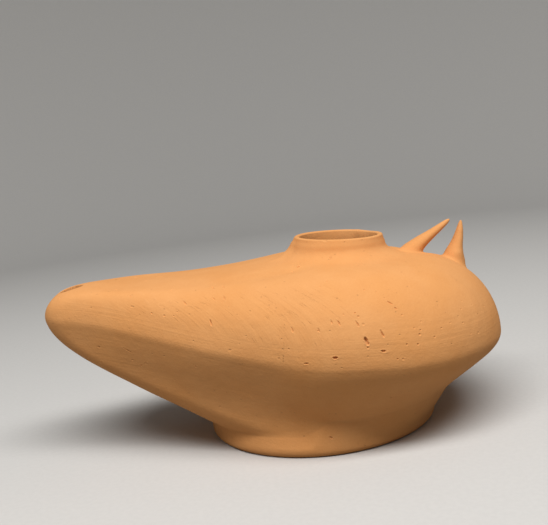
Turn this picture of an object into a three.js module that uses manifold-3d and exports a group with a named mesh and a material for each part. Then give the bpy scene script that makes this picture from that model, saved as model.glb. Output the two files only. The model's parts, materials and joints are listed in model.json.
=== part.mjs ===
// Roman oil lamp of fired clay, thrown on a wheel and drawn out by hand to a nozzle.
// Millimetres, +Z up. The origin is the centre of the foot's underside, the nozzle points to -X.
// The lamp is one piece: a hollow body with a raised filling collar, a tapering nozzle with its wick
// hole, a low disc foot, and two pointed stubs behind the collar where a loop handle has broken away.

import * as THREE from 'three';
import { mergeVertices } from 'three/addons/utils/BufferGeometryUtils.js';
import Module from 'manifold-3d';

// Overall sizes
const LENGTH = 110;               // tip of the nozzle to the back of the body
const BODY_RADIUS = 36.8;         // body at its widest line, the rounded edge between shoulder and belly
const EDGE_HEIGHT = 21.9;         // height of that edge on the body's axis
const LEAN_DEG = 4;               // the potter's lean: everything above the foot rises towards the nozzle

// Shoulder and collar
const SHOULDER_TOP_HEIGHT = 40.1;
const COLLAR_HEIGHT = 5.2;        // lip above the shoulder's top
const COLLAR_FLARE_HEIGHT = 3.5;  // hollow curve at the collar's root
const COLLAR_FLARE_WIDTH = 5.8;
const COLLAR_WALL = 1.9;          // collar wall above its root
const MOUTH_RADIUS = 9.6;
const LIP_WIDTH = 1;
const LIP_ROUND = 0.4;            // rounding inside the lip

// How the collar's wall draws in to the lip: shares of its straight height left above, and of the wall
// that is thicker than the lip
const COLLAR_TAPER = [{ below: 0.5, thicker: 0.5 }, { below: 0.14, thicker: 0.3 }, { below: 0, thicker: 0 }];

// Nozzle
const NOSE_RADIUS = 9.6;          // rounded end, seen from above
const NOSE_HEIGHT = 29.5;         // height of the widest line at the nose, before the lean
const WICK_HOLE_RADIUS = 3.1;
const WICK_HOLE_SETBACK = 7.1;    // nose to the middle of the wick hole

// Waist and foot
const WAIST_RADIUS = 27.5;
const WAIST_HEIGHT = 7.7;
const WAIST_OFFSET = 3.9;         // waist circle from the body's axis, towards the nozzle
const KEEL_REACH = 37;            // end of the waist under the nozzle, from the body's axis
const KEEL_RADIUS = 26;
const KEEL_HEIGHT = 4.9;          // the waist dips to this height where the keel of the nozzle meets it
const FOOT_RADIUS = 27.9;
const FOOT_HEIGHT = 2.1;
const FOOT_OFFSET = 8.7;          // body's axis from the foot's centre
const FOOT_EDGE = 1.5;            // rounding where the foot's side meets its underside
const FOOT_EDGE_LIMIT = 0.8;      // most of the foot's height that this rounding may take

// Walls
const WALL = 4;
const NOZZLE_WALL = 3;
const FLOOR_THICKNESS = 5;

// Handle stubs. The front one starts inside the edge of the collar's foot, the back one inside the back
// of the body. Each sinks into the shoulder, and its bend and tip are steps from the root, in X and Z.
const FRONT_STUB = { inset: 2.1, sink: 2.4, bend: [6.7, 4.7], tip: [12.6, 9], thick: 2.1, wide: 3.4 };
const BACK_STUB = { inset: 8.9, sink: 3.4, bend: [0.7, 6.6], tip: [3, 12.6], thick: 2.6, wide: 3.6 };
const STUB_TIP_RADIUS = 0.5;
const STUB_FLARE = { gain: 0.55, reach: 0.35 };  // widening at the root, as shares of thickness and length

// How a height runs from the widest line to the shoulder's top or the waist: the share that turns over
// quickly, how quickly it does, and the ease of the rest.
const SHOULDER_LAW = { share: 0.93, power: 2.33, ease: 0.85 };
const NOZZLE_TOP_LAW = { share: 0.65, power: 12, ease: 2.8 };
const BELLY_LAW = { share: 0.31, power: 4.6, ease: 1.24 };
const KEEL_LAW = { share: 0.21, power: 13.5, ease: 1.04 };
const FLANK_SOFTNESS = 0.25;      // how much of the nozzle's flank eases into the body and the nose

// Level distance between the two skins where they slope, as a multiple of the wall there
const WAIST_SLANT = 1.7;
const KEEL_SLANT = 1.8;
const THROAT_SLANT = 0.2;
const BELLY_TURN = 0.5;

// Fineness of the faceted surface
const BACK_STEPS = 20;            // half turn of the body
const SIDE_STEPS = 6;             // straight flank of the nozzle
const NOSE_STEPS = 8;             // half turn of the nose
const FLANK_ANGLE = THREE.MathUtils.degToRad(62);
const FLANK_CROWDING = 1.5;       // the flank's points lie closer together towards the nose
const SHOULDER_STEPS = 14;
const BELLY_STEPS = 9;
const FLARE_STEPS = 4;
const HOLE_SIDES = 40;
const STUB_SIDES = 14;
const STUB_STEPS = 12;
const CUT_PAST = 3;               // how far a cutting form runs past the surface that it opens
const SAME_PLACE = 1e-5;          // points this close are one point

const CLAY = new THREE.MeshStandardMaterial({ color: 0xdf9f62, roughness: 0.85, metalness: 0 });

const bodyX = FOOT_OFFSET;
const noseReach = LENGTH - BODY_RADIUS;
const lipHeight = SHOULDER_TOP_HEIGHT + COLLAR_HEIGHT;
const lipRadius = MOUTH_RADIUS + LIP_WIDTH;
const collarRadius = MOUTH_RADIUS + COLLAR_WALL;
const shoulderTopRadius = collarRadius + COLLAR_FLARE_WIDTH;
const leanSlope = Math.tan(THREE.MathUtils.degToRad(LEAN_DEG));

const wasm = await Module();
wasm.setup();

function mix(a, b, t) {
  return a + (b - a) * t;
}

// 0 at the widest line (s = 1) and 1 at the far end of the run (s = 0)
function rise(s, law) {
  return law.share * Math.sqrt(Math.max(0, 1 - s ** law.power)) + (1 - law.share) * (1 - s) ** law.ease;
}

// A ramp from 0 to 1 with softened ends
function softRamp(t) {
  const scale = 1 / (2 * FLANK_SOFTNESS * (1 - FLANK_SOFTNESS));
  if (t < FLANK_SOFTNESS) return t * t * scale;
  if (t > 1 - FLANK_SOFTNESS) return 1 - (1 - t) ** 2 * scale;
  return (t - FLANK_SOFTNESS / 2) / (1 - FLANK_SOFTNESS);
}

// Directions of an outline's points round its body circle, measured from the nozzle, and closer
// together round the nose. The two halves mirror each other.
function outlineDirections() {
  const noseAngle = Math.asin(NOSE_RADIUS / (noseReach - NOSE_RADIUS));
  const half = [];
  for (let i = 0; i < NOSE_STEPS; i += 1) half.push(noseAngle * Math.sin((i / NOSE_STEPS) * Math.PI / 2));
  for (let i = 0; i < SIDE_STEPS; i += 1) {
    half.push(mix(noseAngle, FLANK_ANGLE, (i / SIDE_STEPS) ** FLANK_CROWDING));
  }
  for (let i = 0; i < BACK_STEPS; i += 1) half.push(mix(FLANK_ANGLE, Math.PI, i / BACK_STEPS));
  const otherHalf = half.slice(1).reverse().map((angle) => -angle);
  return [...half, Math.PI, ...otherHalf];
}

const directions = outlineDirections();

// One level of the lamp: the outline round a body circle and a smaller nozzle circle, joined by
// straight flanks. Each circle has its own height, and the flanks ramp between the two. The lean is a
// share of the potter's lean, and lifts the level towards the nozzle.
function level({ centre, radius, height, reach, endRadius, endHeight, lean }) {
  const gap = Math.max(reach - endRadius - centre, 1e-3);
  const turn = Math.acos(THREE.MathUtils.clamp((radius - endRadius) / gap, -1, 1));
  const flankLength = gap * Math.sin(turn);
  const noseFrom = Math.atan2(endRadius * Math.sin(turn), gap + endRadius * Math.cos(turn));
  return directions.map((direction) => {
    const angle = Math.abs(direction);
    let out = radius;
    let z = height;
    if (angle <= noseFrom) {
      const side = endRadius ** 2 - (gap * Math.sin(angle)) ** 2;
      out = gap * Math.cos(angle) + Math.sqrt(Math.max(0, side));
      z = endHeight;
    } else if (angle < turn) {
      out = radius / Math.cos(angle - turn);
      z = mix(height, endHeight, softRamp(out * Math.sin(turn - angle) / flankLength));
    }
    const x = -(centre + out * Math.cos(angle));
    return new THREE.Vector3(bodyX + x, out * Math.sin(direction), z - lean * leanSlope * x);
  });
}

function circle(radius, height, centre, lean) {
  return level({ centre, radius, height, reach: centre + radius, endRadius: radius, endHeight: height, lean });
}

// Levels from the widest line up to the shoulder's top
function shoulderLevels(form) {
  const levels = [];
  for (let i = 1; i <= SHOULDER_STEPS; i += 1) {
    const s = Math.cos((i / SHOULDER_STEPS) * Math.PI / 2);
    levels.push(level({
      centre: 0,
      radius: mix(form.topRadius, form.radius, s),
      height: mix(form.edge, form.top, rise(s, form.shoulder)),
      reach: mix(form.topRadius, form.reach, s),
      endRadius: mix(form.topRadius, form.noseRadius, s),
      endHeight: mix(form.noseEdge, form.top, rise(s, form.nozzleTop)),
      lean: 1,
    }));
  }
  return levels;
}

// Levels from the waist up to the widest line
function bellyLevels(form) {
  const levels = [];
  for (let i = BELLY_STEPS; i >= 0; i -= 1) {
    const s = Math.cos((i / BELLY_STEPS) * Math.PI / 2);
    levels.push(level({
      centre: WAIST_OFFSET * (1 - s),
      radius: mix(form.waistRadius, form.radius, s),
      height: mix(form.edge, form.bottom, rise(s, form.belly)),
      reach: mix(form.keelReach, form.reach, s),
      endRadius: mix(form.keelRadius, form.noseRadius, s),
      endHeight: mix(form.noseEdge, form.keelBottom, rise(s, form.keel)),
      lean: s,
    }));
  }
  return levels;
}

function footLevels() {
  const levels = [];
  for (const share of [0, 0.5, 1]) {
    const turn = share * Math.PI / 2;
    const radius = FOOT_RADIUS - FOOT_EDGE * (1 - Math.sin(turn));
    const height = Math.min(FOOT_EDGE, FOOT_EDGE_LIMIT * FOOT_HEIGHT) * (1 - Math.cos(turn));
    levels.push(circle(radius, height, FOOT_OFFSET, 0));
  }
  levels.push(circle(FOOT_RADIUS, FOOT_HEIGHT, FOOT_OFFSET, 0));
  return levels;
}

// The collar: a hollow curve up from the shoulder, then a wall that draws in to a thin rounded lip
function collarLevels() {
  const levels = [];
  for (let i = 1; i <= FLARE_STEPS; i += 1) {
    const turn = (i / FLARE_STEPS) * Math.PI / 2;
    const radius = shoulderTopRadius - COLLAR_FLARE_WIDTH * Math.sin(turn);
    levels.push(circle(radius, SHOULDER_TOP_HEIGHT + COLLAR_FLARE_HEIGHT * (1 - Math.cos(turn)), 0, 1));
  }
  const straight = COLLAR_HEIGHT - COLLAR_FLARE_HEIGHT;
  for (const { below, thicker } of COLLAR_TAPER) {
    levels.push(circle(mix(lipRadius, collarRadius, thicker), lipHeight - straight * below, 0, 1));
  }
  return levels;
}

// Closed surface through the levels, from the lowest up, with a flat face on each end
function loft(levels) {
  const count = levels[0].length;
  const faces = [];
  for (let row = 0; row + 1 < levels.length; row += 1) {
    for (let i = 0; i < count; i += 1) {
      const a = row * count + i;
      const b = row * count + ((i + 1) % count);
      faces.push(a, a + count, b, b, a + count, b + count);
    }
  }
  const top = (levels.length - 1) * count;
  for (let i = 1; i + 1 < count; i += 1) {
    faces.push(0, i, i + 1);
    faces.push(top, top + i + 1, top + i);
  }
  const geometry = new THREE.BufferGeometry().setFromPoints(levels.flat());
  geometry.setIndex(faces);
  return geometry;
}

function outerForm() {
  const form = {
    edge: EDGE_HEIGHT,
    radius: BODY_RADIUS,
    top: SHOULDER_TOP_HEIGHT,
    topRadius: shoulderTopRadius,
    reach: noseReach,
    noseRadius: NOSE_RADIUS,
    noseEdge: NOSE_HEIGHT,
    bottom: WAIST_HEIGHT,
    waistRadius: WAIST_RADIUS,
    keelBottom: KEEL_HEIGHT,
    keelReach: KEEL_REACH,
    keelRadius: KEEL_RADIUS,
    shoulder: SHOULDER_LAW,
    nozzleTop: NOZZLE_TOP_LAW,
    belly: BELLY_LAW,
    keel: KEEL_LAW,
  };
  return loft([...footLevels(), ...bellyLevels(form), ...shoulderLevels(form), ...collarLevels()]);
}

// The law of the skin inside: its quick share turns over a wall's thickness less than the outside does
function insideLaw(law, outerRun, innerRun, wall) {
  const share = Math.max(0, (law.share * outerRun - wall) / innerRun);
  return { ...law, share };
}

// The oil chamber, running on into the nozzle, a wall's thickness inside the outer form
function chamberForm() {
  const bottom = FLOOR_THICKNESS;
  const top = SHOULDER_TOP_HEIGHT - WALL;
  const form = {
    edge: EDGE_HEIGHT,
    radius: BODY_RADIUS - WALL,
    top,
    topRadius: MOUTH_RADIUS + THROAT_SLANT * WALL,
    reach: noseReach - NOZZLE_WALL,
    noseRadius: NOSE_RADIUS - NOZZLE_WALL,
    noseEdge: NOSE_HEIGHT,
    bottom,
    waistRadius: WAIST_RADIUS - WAIST_SLANT * WALL,
    keelBottom: bottom,
    keelReach: KEEL_REACH - KEEL_SLANT * WALL,
    keelRadius: KEEL_RADIUS - WAIST_SLANT * WALL,
    shoulder: SHOULDER_LAW,
    nozzleTop: insideLaw(NOZZLE_TOP_LAW, SHOULDER_TOP_HEIGHT - NOSE_HEIGHT, top - NOSE_HEIGHT, NOZZLE_WALL),
    belly: insideLaw(BELLY_LAW, EDGE_HEIGHT - WAIST_HEIGHT, EDGE_HEIGHT - bottom, BELLY_TURN * WALL),
    keel: insideLaw(KEEL_LAW, NOSE_HEIGHT - KEEL_HEIGHT, NOSE_HEIGHT - bottom, NOZZLE_WALL),
  };
  return loft([...bellyLevels(form), ...shoulderLevels(form)]);
}

// A round cutter about an upright line at x. Its levels tilt with the lean, as the lamp's do.
function spunCutter(profile, x) {
  const points = profile.map(([radius, height]) => new THREE.Vector2(radius, height));
  const geometry = new THREE.LatheGeometry(points, HOLE_SIDES).rotateX(Math.PI / 2);
  const places = geometry.attributes.position;
  for (let i = 0; i < places.count; i += 1) places.setZ(i, places.getZ(i) - leanSlope * places.getX(i));
  return geometry.translate(x, 0, 0);
}

// The mouth: a straight throat that opens in a small round at the lip
function mouthCutter() {
  const from = SHOULDER_TOP_HEIGHT - WALL - CUT_PAST;
  return spunCutter([
    [0, from],
    [MOUTH_RADIUS, from],
    [MOUTH_RADIUS, lipHeight - LIP_ROUND],
    [MOUTH_RADIUS + LIP_ROUND, lipHeight],
    [MOUTH_RADIUS + LIP_ROUND, lipHeight + CUT_PAST],
    [0, lipHeight + CUT_PAST],
  ], bodyX);
}

// The wick hole runs straight down into the end of the chamber
function wickHoleCutter() {
  const out = noseReach - WICK_HOLE_SETBACK;
  const from = NOSE_HEIGHT + leanSlope * out;
  return spunCutter([
    [0, from],
    [WICK_HOLE_RADIUS, from],
    [WICK_HOLE_RADIUS, lipHeight + CUT_PAST],
    [0, lipHeight + CUT_PAST],
  ], bodyX - out);
}

// Height of the shoulder's surface behind the collar, this far out from the body's axis
function shoulderHeight(out) {
  const s = THREE.MathUtils.clamp((out - shoulderTopRadius) / (BODY_RADIUS - shoulderTopRadius), 0, 1);
  return mix(EDGE_HEIGHT, SHOULDER_TOP_HEIGHT, rise(s, SHOULDER_LAW)) - leanSlope * out;
}

// A stub is a spun point, flared at its root, bent along its line and widened across the lamp
function stub(out, { sink, bend, tip, thick, wide }) {
  const root = new THREE.Vector3(bodyX + out, 0, shoulderHeight(out) - sink);
  const line = new THREE.QuadraticBezierCurve3(
    root,
    new THREE.Vector3(bend[0], 0, bend[1]).add(root),
    new THREE.Vector3(tip[0], 0, tip[1]).add(root),
  );
  const tipShare = STUB_TIP_RADIUS / thick;
  const profile = [new THREE.Vector2(0, 0)];
  for (let i = 0; i <= STUB_STEPS; i += 1) {
    const t = i / STUB_STEPS;
    const flare = STUB_FLARE.gain * Math.max(0, 1 - t / STUB_FLARE.reach) ** 2;
    profile.push(new THREE.Vector2(mix(1, tipShare, t) + flare, t));
  }
  profile.push(new THREE.Vector2(0, 1));
  const geometry = new THREE.LatheGeometry(profile, STUB_SIDES);
  const places = geometry.attributes.position;
  for (let i = 0; i < places.count; i += 1) {
    const t = places.getY(i);
    const spot = line.getPoint(t);
    const along = line.getTangent(t);
    const across = places.getX(i) * thick;
    const side = places.getZ(i) * mix(wide, thick, t);
    places.setXYZ(i, spot.x - along.z * across, side, spot.z + along.x * across);
  }
  return geometry;
}

// A closed solid, with the points that lie together made one and slivers between them dropped
function solid(geometry) {
  geometry.deleteAttribute('normal');
  geometry.deleteAttribute('uv');
  const merged = mergeVertices(geometry, SAME_PLACE);
  const vertProperties = new Float32Array(merged.attributes.position.array);
  const index = merged.index.array;
  const kept = [];
  for (let i = 0; i < index.length; i += 3) {
    const [a, b, c] = index.slice(i, i + 3);
    if (a !== b && b !== c && c !== a) kept.push(a, b, c);
  }
  return new wasm.Manifold(new wasm.Mesh({ numProp: 3, vertProperties, triVerts: new Uint32Array(kept) }));
}

function geometryOf(manifold) {
  const mesh = manifold.getMesh();
  const geometry = new THREE.BufferGeometry();
  geometry.setAttribute('position', new THREE.BufferAttribute(new Float32Array(mesh.vertProperties), 3));
  geometry.setIndex(new THREE.BufferAttribute(new Uint32Array(mesh.triVerts), 1));
  geometry.computeVertexNormals();
  return geometry;
}

function lampGeometry() {
  const front = stub(shoulderTopRadius - FRONT_STUB.inset, FRONT_STUB);
  const back = stub(BODY_RADIUS - BACK_STUB.inset, BACK_STUB);
  return geometryOf(solid(outerForm())
    .add(solid(front))
    .add(solid(back))
    .subtract(solid(chamberForm()))
    .subtract(solid(mouthCutter()))
    .subtract(solid(wickHoleCutter())));
}

const group = new THREE.Group();
const lamp = new THREE.Mesh(lampGeometry(), CLAY);
lamp.name = 'lamp';
group.add(lamp);

export default group;
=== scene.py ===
"""The looks of a Roman oil lamp of fired clay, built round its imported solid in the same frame.

Laid out as an add-on and run as a script. Places are in metres: the origin is the centre of the foot's
underside, +Z is up and the nozzle points to -X.
"""

import json
import math

import bpy
import numpy as np
from bpy.props import FloatProperty, FloatVectorProperty, IntProperty, PointerProperty
from bpy.types import Operator, Panel, PropertyGroup
from mathutils import Matrix, Vector

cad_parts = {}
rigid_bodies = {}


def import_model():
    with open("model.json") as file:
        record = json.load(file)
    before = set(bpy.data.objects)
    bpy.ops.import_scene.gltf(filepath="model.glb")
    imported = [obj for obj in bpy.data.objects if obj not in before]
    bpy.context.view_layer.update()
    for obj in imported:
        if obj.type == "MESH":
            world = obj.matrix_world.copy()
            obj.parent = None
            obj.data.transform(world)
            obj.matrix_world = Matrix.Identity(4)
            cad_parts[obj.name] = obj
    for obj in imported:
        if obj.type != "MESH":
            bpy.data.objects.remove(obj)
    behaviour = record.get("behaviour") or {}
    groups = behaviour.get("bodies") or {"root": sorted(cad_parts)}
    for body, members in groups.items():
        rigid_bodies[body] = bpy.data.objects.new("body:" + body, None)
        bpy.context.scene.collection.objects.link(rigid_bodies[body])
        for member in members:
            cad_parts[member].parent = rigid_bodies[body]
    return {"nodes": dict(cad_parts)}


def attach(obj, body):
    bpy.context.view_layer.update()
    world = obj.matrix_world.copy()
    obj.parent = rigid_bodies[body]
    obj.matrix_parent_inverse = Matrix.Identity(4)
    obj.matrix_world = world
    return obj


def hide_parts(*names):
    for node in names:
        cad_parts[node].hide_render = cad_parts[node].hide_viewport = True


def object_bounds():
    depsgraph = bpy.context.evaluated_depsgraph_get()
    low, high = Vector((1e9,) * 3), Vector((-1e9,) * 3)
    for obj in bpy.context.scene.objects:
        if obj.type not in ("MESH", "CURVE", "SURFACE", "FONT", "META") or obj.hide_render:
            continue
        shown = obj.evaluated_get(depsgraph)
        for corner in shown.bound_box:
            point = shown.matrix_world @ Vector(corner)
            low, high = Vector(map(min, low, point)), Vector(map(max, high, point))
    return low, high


bl_info = {
    "name": "Roman Oil Lamp",
    "version": (1, 0, 0),
    "blender": (4, 5, 0),
    "location": "View3D > Sidebar > Oil Lamp",
    "description": "Models a wheel-made oil lamp of fired clay and the studio that it stands in",
    "category": "Add Mesh",
}

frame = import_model()
solid = frame["nodes"]["lamp"]
cad_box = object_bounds()

MM = 0.001
TINY = 1e-6

# The photograph's frame, in pixels, and the lens that goes with it
PHOTO_WIDTH = 548
PHOTO_HEIGHT = 525
FOCAL_PIXELS = 809.6
SENSOR_WIDTH = 36.0

# Names of the point attributes that the relief leaves for the materials
# Painted shade in the bowls of pits and gouges, darker as they deepen
PIT_SHADE = "pit_shade"
# Painted highlight, partly edge wear, on the raised rims of marks and on crumbs
RIM_WEAR_AND_HIGHLIGHT = "rim"
ABOVE_EDGE = "above_edge"  # height above the widest line, in metres


# Sizes, colours and amounts that a user would change


def length(name, about, millimetres, low=0.0):
    return FloatProperty(
        name=name, description=about, default=millimetres * MM, min=low, unit="LENGTH", precision=5
    )


def angle(name, about, degrees):
    return FloatProperty(name=name, description=about, default=math.radians(degrees), unit="ROTATION")


def share(name, about, value, high=1.0):
    return FloatProperty(name=name, description=about, default=value, min=0.0, max=high)


def colour(name, about, value):
    return FloatVectorProperty(
        name=name, description=about, default=value, min=0.0, max=1.0, size=3, subtype="COLOR"
    )


class LampForm(PropertyGroup):
    """Sizes of the pot itself. They repeat the solid's own, and its length and width come from the frame."""

    length: length("Length", "Nozzle tip to the back of the body", (cad_box[1].x - cad_box[0].x) / MM)
    body_radius: length("Body radius", "Body at its widest line", (cad_box[1].y - cad_box[0].y) / 2 / MM)
    edge_height: length("Edge height", "Height of the widest line on the body's axis", 21.9)
    lean: angle("Lean", "How far everything above the foot rises towards the nozzle", 4.0)
    top_height: length("Shoulder height", "Top of the shoulder, before the collar", 40.1)
    collar_height: length("Collar height", "Lip above the shoulder's top", 5.2)
    flare_height: length("Flare height", "Height of the hollow curve at the collar's root", 3.5)
    flare_width: length("Flare width", "Width of the hollow curve at the collar's root", 5.8)
    collar_wall: length("Collar wall", "Thickness of the collar above its root", 1.9)
    mouth_radius: length("Mouth radius", "Filling hole", 9.6)
    lip_width: length("Lip width", "Width of the rounded lip", 1.35)
    lip_round: length("Lip rounding", "Height over which the lip is rounded", 0.4)
    nose_radius: length("Nose radius", "Rounded end of the nozzle, seen from above", 9.6)
    nose_height: length("Nose height", "Widest line at the nose, before the lean", 29.5)
    wick_radius: length("Wick hole radius", "Hole for the wick", 2.8)
    wick_setback: length("Wick hole setback", "Nose to the middle of the wick hole", 6.9)
    waist_radius: length("Waist radius", "Body just above the foot", 27.5)
    waist_height: length("Waist height", "Height of the waist", 7.7)
    waist_offset: length("Waist offset", "Waist from the body's axis, towards the nozzle", 3.9)
    keel_reach: length("Keel reach", "End of the waist under the nozzle, from the body's axis", 37.0)
    keel_radius: length("Keel radius", "Rounding of the waist under the nozzle", 26.0)
    keel_height: length("Keel height", "Height of the waist under the nozzle", 4.9)
    foot_radius: length("Foot radius", "Disc foot", 27.9)
    foot_height: length("Foot height", "Upright part of the foot's side", 2.1)
    foot_offset: length("Foot offset", "Body's axis from the foot's centre", 8.7)
    foot_edge: length("Foot edge", "Rounding where the foot's side meets its underside", 1.5)
    foot_hollow: length("Foot hollow", "How far the underside is dished in its middle", 0.5)
    wall: length("Wall", "Thickness of the body's wall", 4.0)
    nozzle_wall: length("Nozzle wall", "Thickness of the nozzle's wall", 3.0)
    floor: length("Floor", "Thickness of the floor", 5.0)


class LampSurface(PropertyGroup):
    """Traces of making, burial and wear on the clay's surface."""

    swell: length("Swell", "Uneven wall left by the hands", 0.09)
    swell_pitch: length("Swell pitch", "Distance between the uneven places", 17.0)
    ring_depth: length("Rings", "Depth of the faint rings left by turning", 0.02)
    ring_pitch: length("Ring pitch", "Distance between the rings", 3.1)
    pits: IntProperty(name="Pits", description="Scattered pits on the sides that are hidden", default=90)
    seed: IntProperty(name="Seed", description="Seed of the scattered pits", default=11)


class ClayFinish(PropertyGroup):
    """Colours of the fired clay."""

    body: colour("Clay", "Colour over most of the lamp", (0.74, 0.33, 0.105))
    # Paler patches and grain are the clay's own; on the rims of marks and on crumbs this colour is a painted
    # highlight, partly edge wear
    pale: colour("Pale clay", "Paler patches, ridges and rims", (0.83, 0.44, 0.19))
    # Darker patches are the clay's own; in the grooves of the drawn lines this colour is painted shade
    deep: colour("Deep clay", "Darker patches", (0.64, 0.255, 0.075))
    # Painted shade inside pits and pinholes; the same colour also gives the clay's own dark specks
    hollow: colour("Pit colour", "Inside the pits", (0.46, 0.23, 0.09))
    roughness: share("Roughness", "How matt the clay is", 0.88)
    sheen: share("Specular", "Strength of the clay's faint gloss", 0.25)


class Studio(PropertyGroup):
    """Floor, light and camera."""

    paper: colour("Paper", "Floor and backdrop", (0.62, 0.605, 0.58))
    bounce: share("Bounce", "Share of the light that the paper gives back to the clay", 0.47)
    key: FloatProperty(name="Key light", description="Power of the light above", default=4.65, unit="POWER")
    fill: FloatProperty(name="Fill light", description="Strength of the light all round", default=0.12)


# The pot's skin, as levels of outline from the middle of the underside, up the outside, over the lip and
# down the inside to the middle of the floor. A level is a body circle and a smaller nozzle circle joined
# by straight flanks: centre, radius, height, reach, end radius, end height and share of the lean.

# How a height runs from the widest line to the far end of a run: share that turns over quickly, how
# quickly, and ease of the rest
SHOULDER_LAW = (0.93, 2.33, 0.85)
NOZZLE_TOP_LAW = (0.65, 12.0, 2.8)
BELLY_LAW = (0.31, 4.6, 1.24)
KEEL_LAW = (0.21, 13.5, 1.04)
FLANK_SOFTNESS = 0.25

# Level distance between the two skins where they slope, as a multiple of the wall
WAIST_SLANT = 1.7
KEEL_SLANT = 1.8
THROAT_SLANT = 0.2
BELLY_TURN = 0.5

# Fineness of the sheet that the skin is wrapped from
COLUMNS = 320
SEAM_SHARE = 0.27  # the seam runs down the far side of the lamp
MIDDLE_SHARE = 0.06  # size of the innermost outline of the underside and of the floor, before it is filled
UNDERSIDE_ROWS = 6
FOOT_EDGE_ROWS = 5
HEEL_ROWS = 9
BELLY_ROWS = 36
SHOULDER_ROWS = 50
FLARE_ROWS = 12
COLLAR_ROWS = 3
LIP_ROWS = 8
THROAT_ROWS = 5
THROAT_EDGE_ROWS = 2
CEILING_ROWS = 12
INNER_BELLY_ROWS = 10
FLOOR_ROWS = 4

# Points along an outline where its length or its height is measured
OUTLINE_POINTS = 4001
EDGE_POINTS = 1000


def mix(a, b, t):
    return a + (b - a) * t


def rise(s, law):
    """0 at the widest line (s = 1) and 1 at the far end of the run (s = 0)."""
    quick, power, ease = law
    return quick * math.sqrt(max(0.0, 1 - s**power)) + (1 - quick) * (1 - s) ** ease


def soft_ramp(t):
    """0 to 1 with softened ends."""
    scale = 1 / (2 * FLANK_SOFTNESS * (1 - FLANK_SOFTNESS))
    middle = (t - FLANK_SOFTNESS / 2) / (1 - FLANK_SOFTNESS)
    ends = np.where(t < FLANK_SOFTNESS, t * t * scale, 1 - (1 - t) ** 2 * scale)
    return np.where((t < FLANK_SOFTNESS) | (t > 1 - FLANK_SOFTNESS), ends, middle)


def ring(radius, height, centre=0.0, lean=1.0):
    """A round level: its two circles are one."""
    return (centre, radius, height, centre + radius, radius, height, lean)


def turns(rows, start, stop):
    """Angles from start to stop, in degrees, without the first."""
    return np.radians(np.linspace(start, stop, rows + 1)[1:])


class Skin:
    """One skin of the pot, outer or inner, as the sizes that its runs need."""

    def __init__(self, form, inside):
        gap = form.wall if inside else 0.0
        nozzle_gap = form.nozzle_wall if inside else 0.0
        self.form = form
        self.edge = form.edge_height
        self.radius = form.body_radius - gap
        self.top = form.top_height - gap
        self.reach = form.length - form.body_radius - nozzle_gap
        self.nose = form.nose_radius - nozzle_gap
        self.bottom = form.floor if inside else form.waist_height
        self.keel_bottom = form.floor if inside else form.keel_height
        self.waist = form.waist_radius - WAIST_SLANT * gap
        self.keel_reach = form.keel_reach - KEEL_SLANT * gap
        self.keel = form.keel_radius - WAIST_SLANT * gap
        flare = form.mouth_radius + form.collar_wall + form.flare_width
        self.top_radius = form.mouth_radius + THROAT_SLANT * gap if inside else flare
        self.laws = [SHOULDER_LAW, NOZZLE_TOP_LAW, BELLY_LAW, KEEL_LAW]
        if inside:
            nose = form.nose_height
            self.laws[1] = self.inner_law(NOZZLE_TOP_LAW, form.top_height - nose, self.top - nose, nozzle_gap)
            self.laws[2] = self.inner_law(
                BELLY_LAW, self.edge - form.waist_height, self.edge - self.bottom, BELLY_TURN * gap
            )
            self.laws[3] = self.inner_law(KEEL_LAW, nose - form.keel_height, nose - self.bottom, nozzle_gap)

    @staticmethod
    def inner_law(law, outer_run, inner_run, gap):
        """The quick share turns over a wall's thickness less than the outside does."""
        return (max(0.0, (law[0] * outer_run - gap) / inner_run), law[1], law[2])

    def shoulder(self, turn):
        """Level between the widest line (turn 0) and the shoulder's top (a quarter turn)."""
        s = math.cos(turn)
        return (
            0.0,
            mix(self.top_radius, self.radius, s),
            mix(self.edge, self.top, rise(s, self.laws[0])),
            mix(self.top_radius, self.reach, s),
            mix(self.top_radius, self.nose, s),
            mix(self.form.nose_height, self.top, rise(s, self.laws[1])),
            1.0,
        )

    def belly(self, turn):
        """Level between the widest line (turn 0) and the waist (a quarter turn)."""
        s = math.cos(turn)
        return (
            self.form.waist_offset * (1 - s),
            mix(self.waist, self.radius, s),
            mix(self.edge, self.bottom, rise(s, self.laws[2])),
            mix(self.keel_reach, self.reach, s),
            mix(self.keel, self.nose, s),
            mix(self.form.nose_height, self.keel_bottom, rise(s, self.laws[3])),
            s,
        )


def foot_levels(form):
    """The underside, the foot's rounded edge and side, and the hollow heel up to the waist."""
    flat = form.foot_radius - form.foot_edge
    levels = []
    for part in np.linspace(MIDDLE_SHARE, 1.0, UNDERSIDE_ROWS):
        dish = form.foot_hollow * (1 - part**2) ** 2
        levels.append(ring(part * flat, dish, form.foot_offset, 0.0))
    for turn in turns(FOOT_EDGE_ROWS, 0, 90):
        radius = flat + form.foot_edge * math.sin(turn)
        levels.append(ring(radius, form.foot_edge * (1 - math.cos(turn)), form.foot_offset, 0.0))
    top = np.array(ring(form.foot_radius, form.foot_height, form.foot_offset, 0.0))
    waist = np.array(Skin(form, False).belly(math.pi / 2))
    for part in np.linspace(0, 1, HEEL_ROWS)[:-1]:
        levels.append(tuple(mix(top, waist, part)))
    return levels


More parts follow.
